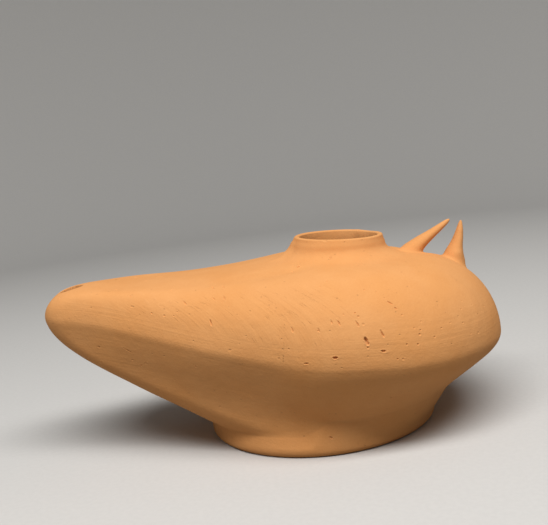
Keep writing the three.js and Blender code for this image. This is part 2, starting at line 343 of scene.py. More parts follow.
def collar_levels(form):
    """The hollow curve at the collar's root, its wall, the rounded lip and the throat."""
    collar = form.mouth_radius + form.collar_wall
    lip_top = form.top_height + form.collar_height
    half_lip = form.lip_width / 2
    levels = []
    for turn in turns(FLARE_ROWS, 0, 90):
        radius = collar + form.flare_width * (1 - math.sin(turn))
        levels.append(ring(radius, form.top_height + form.flare_height * (1 - math.cos(turn))))
    start = (collar, form.top_height + form.flare_height)
    stop = (form.mouth_radius + form.lip_width, lip_top - form.lip_round)
    for part in np.linspace(0, 1, COLLAR_ROWS + 1)[1:]:
        levels.append(ring(mix(start[0], stop[0], part), mix(start[1], stop[1], part)))
    for turn in turns(LIP_ROWS, 0, 180):
        radius = form.mouth_radius + half_lip * (1 + math.cos(turn))
        levels.append(ring(radius, lip_top - form.lip_round * (1 - math.sin(turn))))
    edge = THROAT_SLANT * form.wall
    ceiling = form.top_height - form.wall
    for height in np.linspace(lip_top - form.lip_round, ceiling + edge, THROAT_ROWS + 1)[1:]:
        levels.append(ring(form.mouth_radius, height))
    for turn in turns(THROAT_EDGE_ROWS, 0, 90)[:-1]:
        radius = form.mouth_radius + edge * (1 - math.cos(turn))
        levels.append(ring(radius, ceiling + edge * (1 - math.sin(turn))))
    return levels


def skin_levels(form):
    """All levels in order, and the place in that order where the inside begins."""
    outer = Skin(form, False)
    inner = Skin(form, True)
    levels = foot_levels(form)
    levels += [outer.belly(turn) for turn in np.radians(np.linspace(90, 0, BELLY_ROWS))]
    levels += [outer.shoulder(turn) for turn in turns(SHOULDER_ROWS, 0, 90)]
    levels += collar_levels(form)
    inside_from = len(levels) - THROAT_ROWS
    levels += [inner.shoulder(turn) for turn in np.radians(np.linspace(90, 0, CEILING_ROWS))]
    levels += [inner.belly(turn) for turn in turns(INNER_BELLY_ROWS, 0, 90)]
    centre, radius, height, reach, end_radius, end_height, lean = levels[-1]
    for part in np.linspace(1, MIDDLE_SHARE, FLOOR_ROWS + 1)[1:]:
        middle = centre + (reach - centre) * part
        levels.append((centre, radius * part, height, middle, end_radius * part, end_height, lean))
    return np.array(levels), inside_from


def place(form, levels, directions):
    """Points on the outlines, one for each level and direction round the body's axis from the nozzle."""
    centre, radius, height, reach, end_radius, end_height, lean = levels.T
    side = np.abs((directions + np.pi) % (2 * np.pi) - np.pi)
    gap = np.maximum(reach - end_radius - centre, TINY)
    turn = np.arccos(np.clip((radius - end_radius) / gap, -1, 1))
    nose_from = np.arctan2(end_radius * np.sin(turn), gap + end_radius * np.cos(turn))
    nose_out = gap * np.cos(side) + np.sqrt(np.maximum(end_radius**2 - (gap * np.sin(side)) ** 2, 0))
    flank_out = radius / np.cos(np.minimum(side - turn, 0))
    past_tangent = flank_out * np.sin(np.maximum(turn - side, 0))
    along = soft_ramp(np.clip(past_tangent / (gap * np.sin(turn) + TINY), 0, 1))
    on_nose = side <= nose_from
    out = np.where(on_nose, nose_out, flank_out)
    z = np.where(on_nose, end_height, mix(height, end_height, along))
    x = -(centre + out * np.cos(directions))
    y = out * np.sin(directions)
    return np.stack([form.foot_offset + x, y, z - lean * math.tan(form.lean) * x], axis=1)


def column_directions(form, levels):
    """Directions of the sheet's columns, evenly spaced along the widest outline from the seam on."""
    widest = levels[np.argmax(levels[:, 1] + levels[:, 3])]
    fine = np.linspace(-np.pi, np.pi, OUTLINE_POINTS)
    outline = place(form, np.tile(widest, (len(fine), 1)), fine)
    walked = np.concatenate([[0], np.cumsum(np.linalg.norm(np.diff(outline, axis=0), axis=1))])
    walked /= walked[-1]
    twice_walked = np.concatenate([walked, walked[1:] + 1])
    twice = np.concatenate([fine, fine[1:] + 2 * np.pi])
    return np.interp(SEAM_SHARE + np.linspace(0, 1, COLUMNS + 1), twice_walked, twice)


def wrap(form, levels, directions, flat):
    """Places on the skin of points on the flat sheet, whose X and Y run from -0.5 to 0.5."""
    column = (flat[:, 0] + 0.5) * COLUMNS
    row = (flat[:, 1] + 0.5) * (len(levels) - 1)
    steps = np.arange(len(levels))
    at = np.stack([np.interp(row, steps, levels[:, i]) for i in range(levels.shape[1])], axis=1)
    return place(form, at, np.interp(column, np.arange(COLUMNS + 1), directions))


# Marks on the surface. The named ones are read from the photograph, as pixels of its frame, and stay where
# the lamp shows them. Each is a line from one pixel to another with a radius and a depth in millimetres.

GOUGES = (
    ((356.0, 321.5), (359.0, 326.5), 0.20, 0.30),
    ((365.0, 337.7), (367.6, 343.7), 0.36, 0.65),
    ((380.8, 331.0), (384.0, 337.0), 0.26, 0.40),
    ((382.2, 351.3), (385.2, 351.3), 0.28, 0.40),
    ((334.0, 358.0), (336.4, 358.0), 0.30, 0.55),
    ((304.5, 363.4), (309.0, 363.4), 0.20, 0.30),
    ((209.7, 319.5), (211.4, 325.3), 0.22, 0.32),
    ((211.6, 285.8), (214.2, 288.6), 0.22, 0.26),
    ((221.6, 285.2), (224.4, 287.8), 0.22, 0.26),
    ((222.8, 295.2), (224.8, 299.4), 0.22, 0.26),
    ((141.0, 293.1), (149.5, 305.5), 0.20, 0.30),
    ((152.3, 293.4), (161.5, 308.2), 0.20, 0.32),
    ((183.0, 300.5), (186.0, 304.5), 0.20, 0.28),
    ((211.5, 296.5), (215.5, 300.5), 0.18, 0.22),
    ((291.4, 327.2), (293.3, 333.0), 0.20, 0.28),
    ((331.0, 320.6), (332.0, 323.6), 0.18, 0.24),
    ((337.8, 321.0), (340.2, 326.0), 0.20, 0.28),
    ((318.0, 328.5), (319.5, 332.0), 0.18, 0.22),
    ((387.5, 301.5), (392.5, 304.5), 0.20, 0.28),
    ((394.5, 307.5), (397.5, 309.5), 0.16, 0.20),
    ((123.0, 348.0), (132.0, 353.5), 0.18, 0.20),
    ((238.0, 363.5), (241.0, 365.0), 0.18, 0.22),
    ((330.2, 437.0), (332.0, 438.2), 0.26, 0.30),
    ((324.0, 240.4), (326.0, 240.4), 0.30, 0.30),
)

PITS = (
    (164.0, 315.7), (177.0, 312.0), (173.4, 315.7), (189.0, 314.4), (170.8, 290.2), (299.0, 285.0),
    (320.0, 286.8), (327.0, 281.3), (364.3, 290.0), (376.6, 292.0), (384.6, 297.8), (395.4, 308.0),
    (368.0, 347.7), (420.5, 330.3), (421.0, 321.6), (450.0, 323.0), (462.7, 323.0), (460.7, 309.3),
    (478.0, 332.6), (470.8, 333.4), (483.5, 306.6), (418.5, 267.0), (413.6, 269.4), (355.3, 280.0),
    (397.8, 359.0), (407.0, 344.4), (418.0, 344.4), (318.0, 331.0), (343.5, 314.6), (288.8, 349.0),
    (279.2, 358.7), (239.0, 343.5), (248.0, 345.0), (230.0, 350.0), (145.3, 363.9), (140.8, 366.0),
    (151.3, 313.2), (131.5, 306.5), (116.0, 289.0), (101.0, 290.0), (130.5, 296.0), (220.0, 407.0),
    (224.0, 418.0), (228.0, 411.0), (292.5, 425.5), (358.3, 316.5), (363.5, 324.5), (402.0, 315.0),
    (403.3, 359.2), (414.3, 328.2), (419.5, 334.3), (441.3, 328.0), (461.0, 301.5), (471.0, 305.0),
    (434.5, 337.0), (345.2, 280.5), (340.0, 272.0), (355.0, 313.0), (391.0, 397.3), (404.0, 421.0),
    (132.0, 360.5), (234.0, 367.0), (261.0, 376.5), (195.5, 366.5), (271.0, 390.0), (308.0, 388.0),
)
PIT_RADIUS = (0.2, 0.3)
PIT_DEPTH = (0.1, 0.2)
PIT_SEED = 5

# Small raised crumbs of clay: pixel, radius and height
CRUMBS = (
    ((80.6, 286.6), 0.42, 0.35),
    ((172.0, 289.4), 0.30, 0.12),
)

# Where hands pressed the soft clay out of the form's own run: centre, radius and how far the skin moved
PRESSED = (
    ((28.0, 7.0, 38.2), 9.5, (0.0, 0.0, -1.5)),
    ((22.3, 8.0, 39.7), 9.0, (0.0, 0.0, -1.3)),
    ((-53.5, 0.0, 41.0), 12.0, (0.0, 0.0, 0.5)),
    ((-18.0, 4.0, 41.5), 20.0, (0.0, 0.0, -0.42)),
    ((-4.6, 0.0, 42.8), 4.5, (-0.5, 0.0, 0.45)),
    ((-63.0, 0.0, 37.6), 5.0, (0.25, 0.0, -0.2)),
    ((-48.0, 0.0, 24.0), 24.0, (-0.14, 0.0, -0.34)),
    ((-15.0, -27.0, 24.0), 14.0, (0.0, 0.0, 1.0)),
    ((44.0, 0.0, 28.5), 7.0, (0.3, 0.0, 0.0)),
    ((32.0, -24.0, 22.0), 12.0, (0.0, 0.0, 0.5)),
)
COLLAR_SHIFT = 0.4  # how far the collar's root leans towards the nozzle under its lip
COLLAR_ROOT = (14, 20)  # the lean fades out between these distances from the body's axis
COLLAR_LEAN_FROM = (-0.5, 1.5)  # it fades in between these heights, from the shoulder's top
COLLAR_LEAN_TO = 3  # and out from this height to the lip
CRISP_EDGE = 0.8  # how much the nozzle's sides come to an edge along their widest line
CRISP_REACH = 2.6
CRISP_TO_BODY = (-25, 2)
CRISP_MIDDLE = (0.3, 0.35)  # how round the edge is, and how far the skin beside it is drawn in

# The shoulder is worked smooth between these ends of its fading: height, distance from the body's axis,
# and places along the lamp from the nozzle and to the collar
SHOULDER_UP = (32, 36)
SHOULDER_FROM_AXIS = (15, 19)
SHOULDER_FROM_NOSE = (-44, -36)
SHOULDER_TO_BODY = (4, 12)

SCATTER_RADIUS = (0.2, 0.42)
SCATTER_DEPTH = (0.12, 0.36)
SCATTER_LENGTH = 1.3
LONG_SHARE = 0.25  # share of the scattered marks that are drawn out
DEEP_MARK = (0.3, 0.35)  # only marks narrower or deeper than this need the finest faces
MARKS_APART = 4  # scattered marks keep this far from the named ones
ABOVE_FOOT = 2
BESIDE_SEAM = 0.49  # share of the sheet's width, past which no mark is scattered

# How far past a mark each of the sheet's halvings goes, and the size of face that is fine enough there
FINE_REACH = (1.2, 0.6, 0.25)
FINE_FACE = (0.5, 0.27, 0.16)
HOLE_REACH = 2.2  # as a multiple of those, round the wick hole
# Behind the collar, where the stubs stand: past this place along the lamp, within this distance of its
# middle and above this height. The first is where the faces are fine, the second where joins are smoothed.
FINE_BEHIND_COLLAR = (19, 8, 27)
JOINS_BEHIND_COLLAR = (20, 9, 29)

# The wick hole's cutter, and how far out from the hole and up from the nozzle's end its rim is sought
HOLE_SIDES = 72
CUTTER_DEPTH = 20
HOLE_RIM_OUT = 1
HOLE_RIM_UP = 2

# The shape of a mark: its raised rim as a share of the depth, where that lies and how wide it is as shares
# of the radius, how uneven its outline is, how full its bowl is, the depth in millimetres at which the
# painted shade in its bowl is wholly dark, and how quickly that painted shade pales in shallower ones
MARK_RIM = 0.1
MARK_RIM_AT = 1.25
MARK_RIM_WIDTH = 0.28
MARK_UNEVEN = 0.14
MARK_NOISE_PITCH = 0.9
MARK_NOISE_SEED = 21
BOWL_FULLNESS = 1.2
DARK_DEPTH = 0.45
DARK_POWER = 1.5
MARK_SEARCH = 6  # points farther than this from a mark's start, in millimetres, are left out

# Where the swells and rings fade, as heights in millimetres and as the upward part of the skin's normal
SWELL_SEED = 3
SWELLS_FROM = (1.6, 4.6)
SWELLS_TO = (41, 43)
RINGS_WHERE_STEEP = (0.6, 0.85)
WAVES = 9  # in each uneven field, with their pitches between these multiples of the one asked for
WAVE_PITCHES = (0.7, 1.6)

# The rings stray from level by an uneven field, the coarse ones and the finer ones among them by their own
# amounts. The finer ones are so many times as close, start so far into a turn, and have so large a share.
WANDER_PITCH = 25
WANDER_SEED = 31
COARSE_WANDER = 0.6
FINE_WANDER = -0.9
FINE_RINGS = 1.7
FINE_START = 1.3
FINE_SHARE = 0.4

# Camera: where it stands, and how it is turned, from the photograph's own perspective
CAMERA_PLACE = Vector((-19.368, -196.293, 70.507)) * MM
CAMERA_YAW = math.radians(3.352)
CAMERA_PITCH = math.radians(8.71)
CAMERA_ROLL = math.radians(6.867)


def camera_turn():
    return (
        Matrix.Rotation(-CAMERA_YAW, 3, "Z")
        @ Matrix.Rotation(math.pi / 2 - CAMERA_PITCH, 3, "X")
        @ Matrix.Rotation(-CAMERA_ROLL, 3, "Z")
    )


def spot(pixel):
    """The place on the solid that a pixel of the photograph shows."""
    across = (pixel[0] - PHOTO_WIDTH / 2) / FOCAL_PIXELS
    down = (pixel[1] - PHOTO_HEIGHT / 2) / FOCAL_PIXELS
    ray = camera_turn() @ Vector((across, -down, -1.0))
    hit, where, _, _ = solid.ray_cast(CAMERA_PLACE, ray.normalized())
    if not hit:
        raise RuntimeError(f"pixel {pixel} doesn't show the lamp")
    return np.array(where)


def named_marks():
    rng = np.random.default_rng(PIT_SEED)
    marks = [(spot(start), spot(stop), radius * MM, depth * MM) for start, stop, radius, depth in GOUGES]
    for pixel in PITS:
        where = spot(pixel)
        marks.append((where, where, rng.uniform(*PIT_RADIUS) * MM, rng.uniform(*PIT_DEPTH) * MM))
    for pixel, radius, height in CRUMBS:
        where = spot(pixel)
        marks.append((where, where, radius * MM, -height * MM))
    return marks


def scattered_marks(surface, places, areas):
    """Pits on the sides that the photograph hides, at random places of the outside."""
    rng = np.random.default_rng(surface.seed)
    chosen = rng.choice(len(places), size=surface.pits, replace=False, p=areas / areas.sum())
    marks = []
    for index in chosen:
        stretch = rng.uniform(0, SCATTER_LENGTH) * MM if rng.random() < LONG_SHARE else 0.0
        step = rng.normal(size=3)
        step *= stretch / np.linalg.norm(step)
        start = places[index]
        radius = rng.uniform(*SCATTER_RADIUS) * MM
        marks.append((start, start + step, radius, rng.uniform(*SCATTER_DEPTH) * MM))
    return marks


def mark_distance(points, mark):
    """Distance from a mark's line, for choosing what lies near it."""
    start, stop = mark[0], mark[1]
    along = stop - start
    run = max(along @ along, TINY**2)
    t = np.clip((points - start) @ along / run, 0, 1)
    return np.linalg.norm(points - start - t[:, None] * along, axis=1)


def mark_reach(points, mark):
    """How far out in a mark's pointed oval a point is: 0 in the middle and 1 on its edge."""
    start, stop, radius = mark[0], mark[1], mark[2]
    run = np.linalg.norm(stop - start)
    way = (stop - start) / max(run, TINY)
    from_middle = points - (start + stop) / 2
    along = from_middle @ way
    across = np.linalg.norm(from_middle - along[:, None] * way, axis=1)
    return np.hypot(along / (run / 2 + radius), across / radius)


def bell(points, centre, radius):
    """1 at the centre, easing to 0 at the radius."""
    away = np.linalg.norm(points - np.array(centre) * MM, axis=1) / (radius * MM)
    return np.clip(1 - away**2, 0, 1) ** 2


def between(value, low, high):
    """0 below low, 1 above high, and smooth between."""
    t = np.clip((value - low) / (high - low), 0, 1)
    return t * t * (3 - 2 * t)


def axis_distance(form, points):
    """Level distance from the body's axis."""
    return np.linalg.norm(points[:, :2] - (form.foot_offset, 0), axis=1)


def waves(points, pitch, seed):
    """A smooth uneven field between about -1 and 1, with bumps about a pitch apart."""
    rng = np.random.default_rng(seed)
    total = np.zeros(len(points))
    for _ in range(WAVES):
        way = rng.normal(size=3)
        way *= 2 * np.pi / (pitch * rng.uniform(*WAVE_PITCHES) * np.linalg.norm(way))
        total += np.sin(points @ way + rng.uniform(0, 2 * np.pi))
    return total / math.sqrt(WAVES)


def rings(above, points, pitch):
    """Faint rings that run level with the widest line, between -1 and 1."""
    wander = waves(points, WANDER_PITCH * MM, WANDER_SEED)
    turn = 2 * np.pi * above / pitch
    coarse = np.sin(turn + COARSE_WANDER * wander)
    fine = np.sin(FINE_RINGS * turn + FINE_START + FINE_WANDER * wander)
    return (1 - FINE_SHARE) * coarse + FINE_SHARE * fine


# Work in Blender


def read(parts, name, width=3, kind=float):
    """One value of every point, edge or face, as rows of that width."""
    flat = np.empty(len(parts) * width, kind)
    parts.foreach_get(name, flat)
    return flat.reshape(-1, width)


def coordinates(mesh):
    return read(mesh.vertices, "co")


def middles(mesh):
    return read(mesh.polygons, "center")


def move_to(mesh, places):
    mesh.vertices.foreach_set("co", places.ravel())
    mesh.update()


def sharp_points(mesh, sharpness, hollow_only):
    """Points on edges whose two faces turn by more than the sharpness."""
    sizes = read(mesh.polygons, "loop_total", 1, np.int32)[:, 0]
    face_of = np.repeat(np.arange(len(sizes)), sizes)
    edge_of = read(mesh.loops, "edge_index", 1, np.int32)[:, 0]
    order = np.argsort(edge_of, kind="stable")
    paired = edge_of[order][:-1] == edge_of[order][1:]
    edge = edge_of[order][:-1][paired]
    first = face_of[order][:-1][paired]
    second = face_of[order][1:][paired]
    normals = read(mesh.polygons, "normal")
    centres = middles(mesh)
    turned = np.einsum("ij,ij->i", normals[first], normals[second]) < math.cos(sharpness)
    if hollow_only:
        turned &= np.einsum("ij,ij->i", centres[second] - centres[first], normals[first]) > 0
    chosen = np.zeros(len(mesh.vertices), bool)
    chosen[read(mesh.edges, "vertices", 2, np.int32)[edge[turned]]] = True
    return chosen


def nothing_selected():
    for item in bpy.context.selected_objects:
        item.select_set(False)


def only(piece):
    """Makes the piece the one that is selected and active."""
    nothing_selected()
    piece.select_set(True)
    bpy.context.view_layer.objects.active = piece


def edit(piece, kind, chosen=None):
    """Goes into edit mode on the piece, with the chosen parts of that kind selected, or all."""
    if bpy.context.mode != "OBJECT":
        bpy.ops.object.mode_set(mode="OBJECT")
    only(piece)
    bpy.ops.object.mode_set(mode="EDIT")
    bpy.ops.mesh.select_mode(type=kind)
    bpy.ops.mesh.select_all(action="SELECT" if chosen is None else "DESELECT")
    if chosen is not None:
        bpy.ops.object.mode_set(mode="OBJECT")
        parts = piece.data.polygons if kind == "FACE" else piece.data.vertices
        parts.foreach_set("select", chosen)
        bpy.ops.object.mode_set(mode="EDIT")


def leave_edit():
    bpy.ops.object.mode_set(mode="OBJECT")


def apply(piece, kind, **settings):
    """Gives the piece a modifier of that kind and applies it."""
    only(piece)
    modifier = piece.modifiers.new(kind.title(), kind)
    for name, value in settings.items():
        setattr(modifier, name, value)
    bpy.ops.object.modifier_apply(modifier=modifier.name)


def boolean(piece, other, operation):
    apply(piece, "BOOLEAN", operation=operation, solver="EXACT", object=other)
    bpy.data.objects.remove(other)


# The stubs of the lost handle, in the lamp's middle plane: X and Z of each station of the line, half
# thickness in that plane and half width across it, in millimetres, and the lean of the line in degrees

FRONT_STUB = (
    (24.5, 37.0, 3.0, 3.6, 46),
    (26.1, 38.5, 2.55, 3.1, 50),
    (27.55, 39.7, 2.02, 2.6, 54),
    (29.1, 40.9, 1.6, 2.1, 58),
    (31.0, 42.05, 1.25, 1.65, 61),
    (33.05, 43.25, 0.96, 1.2, 60),
    (35.2, 44.6, 0.69, 0.8, 58),
    (36.15, 45.2, 0.47, 0.5, 58),
    (36.5, 45.42, 0.3, 0.32, 58),
    (36.66, 45.52, 0.1, 0.1, 58),
)
BACK_STUB = (
    (36.7, 32.4, 3.0, 3.9, 2),
    (36.7, 34.4, 3.05, 3.7, 2),
    (36.65, 35.8, 2.85, 3.5, 3),
    (36.85, 36.7, 2.55, 3.3, 5),
    (37.15, 37.5, 2.2, 2.95, 8),
    (37.58, 38.4, 1.8, 2.5, 11),
    (37.98, 39.4, 1.5, 2.1, 13),
    (38.44, 40.6, 1.24, 1.75, 15),
    (38.98, 42.4, 0.9, 1.2, 15),
    (39.28, 44.0, 0.54, 0.62, 13),
    (39.45, 44.65, 0.34, 0.36, 12),
    (39.5, 44.95, 0.1, 0.1, 12),
)
STUB_SIDES = 40
STUB_STEPS = 4  # rings to a station
JOIN_SHARPNESS = math.radians(18)
JOIN_CORE = 0.52  # a join is worked most this near its crease, and less and less out to its reach
JOIN_REACH = 2.6
JOIN_STROKES = 36
SHOULDER_STROKES = 60
RIM_SHARPNESS = math.radians(30)
RIM_STROKES = 4


def stub(stations):
    """A stub drawn out from a disc: extruded, turned and drawn in, ring by ring."""
    line = np.array(stations) * MM
    fine = np.linspace(0, len(line) - 1, (len(line) - 1) * STUB_STEPS + 1)
    x, z, thick, wide, lean = (np.interp(fine, np.arange(len(line)), line[:, i]) for i in range(5))
    for values in (x, z, thick, wide, lean):
        for _ in range(STUB_STEPS):
            values[1:-1] = (values[:-2] + 2 * values[1:-1] + values[2:]) / 4
    lean = np.radians(lean / MM)
    nothing_selected()
    bpy.ops.mesh.primitive_circle_add(
        vertices=STUB_SIDES, radius=1.0, fill_type="NGON", location=(x[0], 0, z[0])
    )
    piece = bpy.context.object
    bpy.ops.object.transform_apply(location=True, rotation=False, scale=False)
    edit(piece, "FACE")
    size = np.array([thick[0], wide[0], thick[0]])
    bpy.ops.transform.resize(value=tuple(size), center_override=(x[0], 0, z[0]))
    bpy.ops.transform.rotate(value=turn_value(lean[0]), orient_axis="Y", center_override=(x[0], 0, z[0]))
    for i in range(1, len(fine)):
        step = (x[i] - x[i - 1], 0, z[i] - z[i - 1])
        bpy.ops.mesh.extrude_region_move(TRANSFORM_OT_translate={"value": step})
        centre = (x[i], 0, z[i])
        new = np.array([thick[i], wide[i], thick[i]])
        bpy.ops.transform.resize(value=tuple(new / size), center_override=centre)
        bpy.ops.transform.rotate(
            value=turn_value(lean[i] - lean[i - 1]), orient_axis="Y", center_override=centre
        )
        size = new
    bpy.ops.mesh.select_all(action="SELECT")
    bpy.ops.mesh.normals_make_consistent(inside=False)
    leave_edit()
    return piece


def turn_value(value):
    """With no window, the rotate operator turns the other way."""
    return -value


def behind_collar(points, start, beside, height):
    along = (points[:, 0] > start * MM) & (np.abs(points[:, 1]) < beside * MM)
    return along & (points[:, 2] > height * MM)


class LAMP_OT_add_pot(Operator):
    """Models the lamp: body, nozzle, collar, foot and handle stubs in one piece of clay"""

    bl_idname = "oil_lamp.add_pot"
    bl_label = "Add Lamp"

    def execute(self, context):
        form = context.scene.lamp_form
        surface = context.scene.lamp_surface
        levels, inside_from = skin_levels(form)
        directions = column_directions(form, levels)
        sheet = self.sheet(len(levels))
        marks = self.refine(form, surface, sheet, levels, directions, inside_from)
        self.close(form, sheet, levels, directions, inside_from)
        self.smooth_shoulder(form, sheet)
        self.add_stubs(sheet)
        self.cut_wick_hole(form, sheet)
        self.work_surface(form, surface, sheet, levels, marks)
        sheet.data.materials.append(fired_clay(context.scene.clay_finish))
        sheet.data.materials.append(clay_inside(context.scene.clay_finish))
        only(sheet)
        bpy.ops.object.shade_smooth()
        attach(sheet, "root")
        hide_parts("lamp")
        return {"FINISHED"}

    def sheet(self, rows):
        """The flat sheet that is wrapped into the skin: one column of faces for each step round it."""
        nothing_selected()
        bpy.ops.mesh.primitive_grid_add(x_subdivisions=COLUMNS, y_subdivisions=rows - 1, size=1.0)
        piece = bpy.context.object
        piece.name = "oil_lamp"
        return piece

    def refine(self, form, surface, sheet, levels, directions, inside_from):
        """Halves the sheet's faces near each mark, the stubs and the wick hole, and gives the marks."""
        rows = len(levels) - 1
        flat = middles(sheet.data)
        places = wrap(form, levels, directions, flat)
        marks = named_marks()
        clear = np.min([mark_distance(places, mark) for mark in marks], axis=0) >= MARKS_APART * MM
        clear &= (places[:, 1] > -form.body_radius / 2) & (places[:, 2] > ABOVE_FOOT * MM)
        clear &= (np.abs(flat[:, 0]) < BESIDE_SEAM) & ((flat[:, 1] + 0.5) * rows < inside_from)
        spans = self.areas(form, levels, directions, sheet.data, flat)
        marks += scattered_marks(surface, places, spans * clear)
        hole = np.array([form.foot_offset - (form.length - form.body_radius - form.wick_setback), 0.0])
        for halving, reach in enumerate(FINE_REACH):
            flat = middles(sheet.data)
            places = wrap(form, levels, directions, flat)
            chosen = np.zeros(len(flat), bool)
            for mark in marks:
                if halving < 2 or mark[2] < DEEP_MARK[0] * MM or mark[3] > DEEP_MARK[1] * MM:
                    chosen |= mark_distance(places, mark) < mark[2] + reach * MM
            if halving < 2:
                from_hole = np.linalg.norm(places[:, :2] - hole, axis=1) - form.wick_radius
                chosen |= (from_hole < HOLE_REACH * reach * MM) & (places[:, 2] > form.nose_height)
            if halving < 1:
                chosen |= behind_collar(places, *FINE_BEHIND_COLLAR)
            chosen &= self.areas(form, levels, directions, sheet.data, flat) > (FINE_FACE[halving] * MM) ** 2
            chosen &= (flat[:, 1] + 0.5) * rows < inside_from
            edit(sheet, "FACE", chosen)
            bpy.ops.mesh.subdivide(number_cuts=1)
            leave_edit()
        return marks

    def areas(self, form, levels, directions, mesh, flat):
        """Area of each face of the sheet once wrapped."""
        share = np.sqrt(read(mesh.polygons, "area", 1) * COLUMNS * (len(levels) - 1))
        step = share * np.array([0.5 / COLUMNS, 0.0, 0.0])
        climb = share * np.array([0.0, 0.5 / (len(levels) - 1), 0.0])
        across = wrap(form, levels, directions, flat + step) - wrap(form, levels, directions, flat - step)
        up = wrap(form, levels, directions, flat + climb) - wrap(form, levels, directions, flat - climb)
        return np.linalg.norm(np.cross(across, up), axis=1)

    def close(self, form, sheet, levels, directions, inside_from):
        """Wraps the sheet, joins its seam and fills its two ends."""
        mesh = sheet.data
        flat = coordinates(mesh)
        inside = (middles(mesh)[:, 1] + 0.5) * (len(levels) - 1) > inside_from
        mesh.polygons.foreach_set("material_index", inside.astype(np.int32))
        move_to(mesh, self.pressed(form, wrap(form, levels, directions, flat)))
        edit(sheet, "VERT")
        bpy.ops.mesh.remove_doubles(threshold=TINY)
        bpy.ops.mesh.fill_holes(sides=0)
        bpy.ops.mesh.normals_make_consistent(inside=False)
        leave_edit()

    def pressed(self, form, points):
        """The skin as the hands left it, a little out of the form's own run."""
        top = form.top_height
        moved = points.copy()
        collar = between((points[:, 2] - top) / MM, *COLLAR_LEAN_FROM)
        collar *= 1 - between(points[:, 2], top + COLLAR_LEAN_TO * MM, top + form.collar_height)
        collar *= 1 - between(axis_distance(form, points) / MM, *COLLAR_ROOT)
        moved[:, 0] -= COLLAR_SHIFT * MM * collar
        for centre, radius, push in PRESSED:
            moved += bell(points, centre, radius)[:, None] * np.array(push) * MM
        return moved

    def edge_heights(self, form, levels, points):
        """How far each point is above the widest line."""
        widest = levels[np.argmax(levels[:, 1] + levels[:, 3])]
        turn = np.linspace(0, np.pi, EDGE_POINTS)
        line = place(form, np.tile(widest, (len(turn), 1)), turn)
        return points[:, 2] - np.interp(points[:, 0], line[:, 0], line[:, 2])

    def add_stubs(self, sheet):
        """Joins the two stubs to the shoulder and works the joins smooth."""
        for stations in (FRONT_STUB, BACK_STUB):
            boolean(sheet, stub(stations), "UNION")
        self.smooth_joins(sheet, behind_collar(coordinates(sheet.data), *JOINS_BEHIND_COLLAR))

    def cut_wick_hole(self, form, sheet):
        """Cuts the hole down into the end of the chamber, and rounds its rim."""
        out = form.length - form.body_radius - form.wick_setback
        x = form.foot_offset - out
        low = form.nose_height + math.tan(form.lean) * out
        nothing_selected()
        bpy.ops.mesh.primitive_cylinder_add(
            vertices=HOLE_SIDES, radius=form.wick_radius, depth=CUTTER_DEPTH * MM,
            end_fill_type="NGON", location=(x, 0, low + CUTTER_DEPTH / 2 * MM),
        )
        cutter = bpy.context.object
        bpy.ops.object.transform_apply(location=True, rotation=False, scale=False)
        boolean(sheet, cutter, "DIFFERENCE")
        points = coordinates(sheet.data)
        from_hole = np.linalg.norm(points[:, :2] - (x, 0), axis=1) - form.wick_radius
        rim = (from_hole < HOLE_RIM_OUT * MM) & (points[:, 2] > form.nose_height + HOLE_RIM_UP * MM)
        edit(sheet, "VERT", rim & sharp_points(sheet.data, RIM_SHARPNESS, False))
        bpy.ops.mesh.select_more()
        bpy.ops.mesh.vertices_smooth(factor=0.5, repeat=RIM_STROKES)
        leave_edit()

    def smooth_joins(self, sheet, nearby):
        """Works the skin smooth along its hollow creases, most on the crease and less with distance."""
        points = coordinates(sheet.data)
        creased = points[nearby & sharp_points(sheet.data, JOIN_SHARPNESS, True)]
        close = np.where(nearby)[0]
        apart = np.min(np.linalg.norm(points[close][:, None] - creased[None], axis=2), axis=1)
        weights = np.zeros(len(points))
        weights[close] = 1 - between(apart, JOIN_CORE * MM, JOIN_REACH * MM)
        self.work_smooth(sheet, weights, JOIN_STROKES)

    def smooth_shoulder(self, form, sheet):
        """Works the top smooth where the nozzle leaves the dome."""
        points = coordinates(sheet.data)
        x, z = points[:, 0] / MM, points[:, 2] / MM
        weights = between(z, *SHOULDER_UP) * between(axis_distance(form, points) / MM, *SHOULDER_FROM_AXIS)
        weights *= between(x, *SHOULDER_FROM_NOSE) * (1 - between(x, *SHOULDER_TO_BODY))
        self.work_smooth(sheet, weights, SHOULDER_STROKES)

    def work_smooth(self, sheet, weights, strokes):
        """Smooths the skin as much as the weights say, that many times over."""
        worked = sheet.vertex_groups.new(name="Worked smooth")
        for index in np.where(weights > 0)[0]:
            worked.add([int(index)], float(weights[index]), "REPLACE")
        apply(sheet, "SMOOTH", factor=0.5, iterations=strokes, vertex_group=worked.name)
        sheet.vertex_groups.clear()

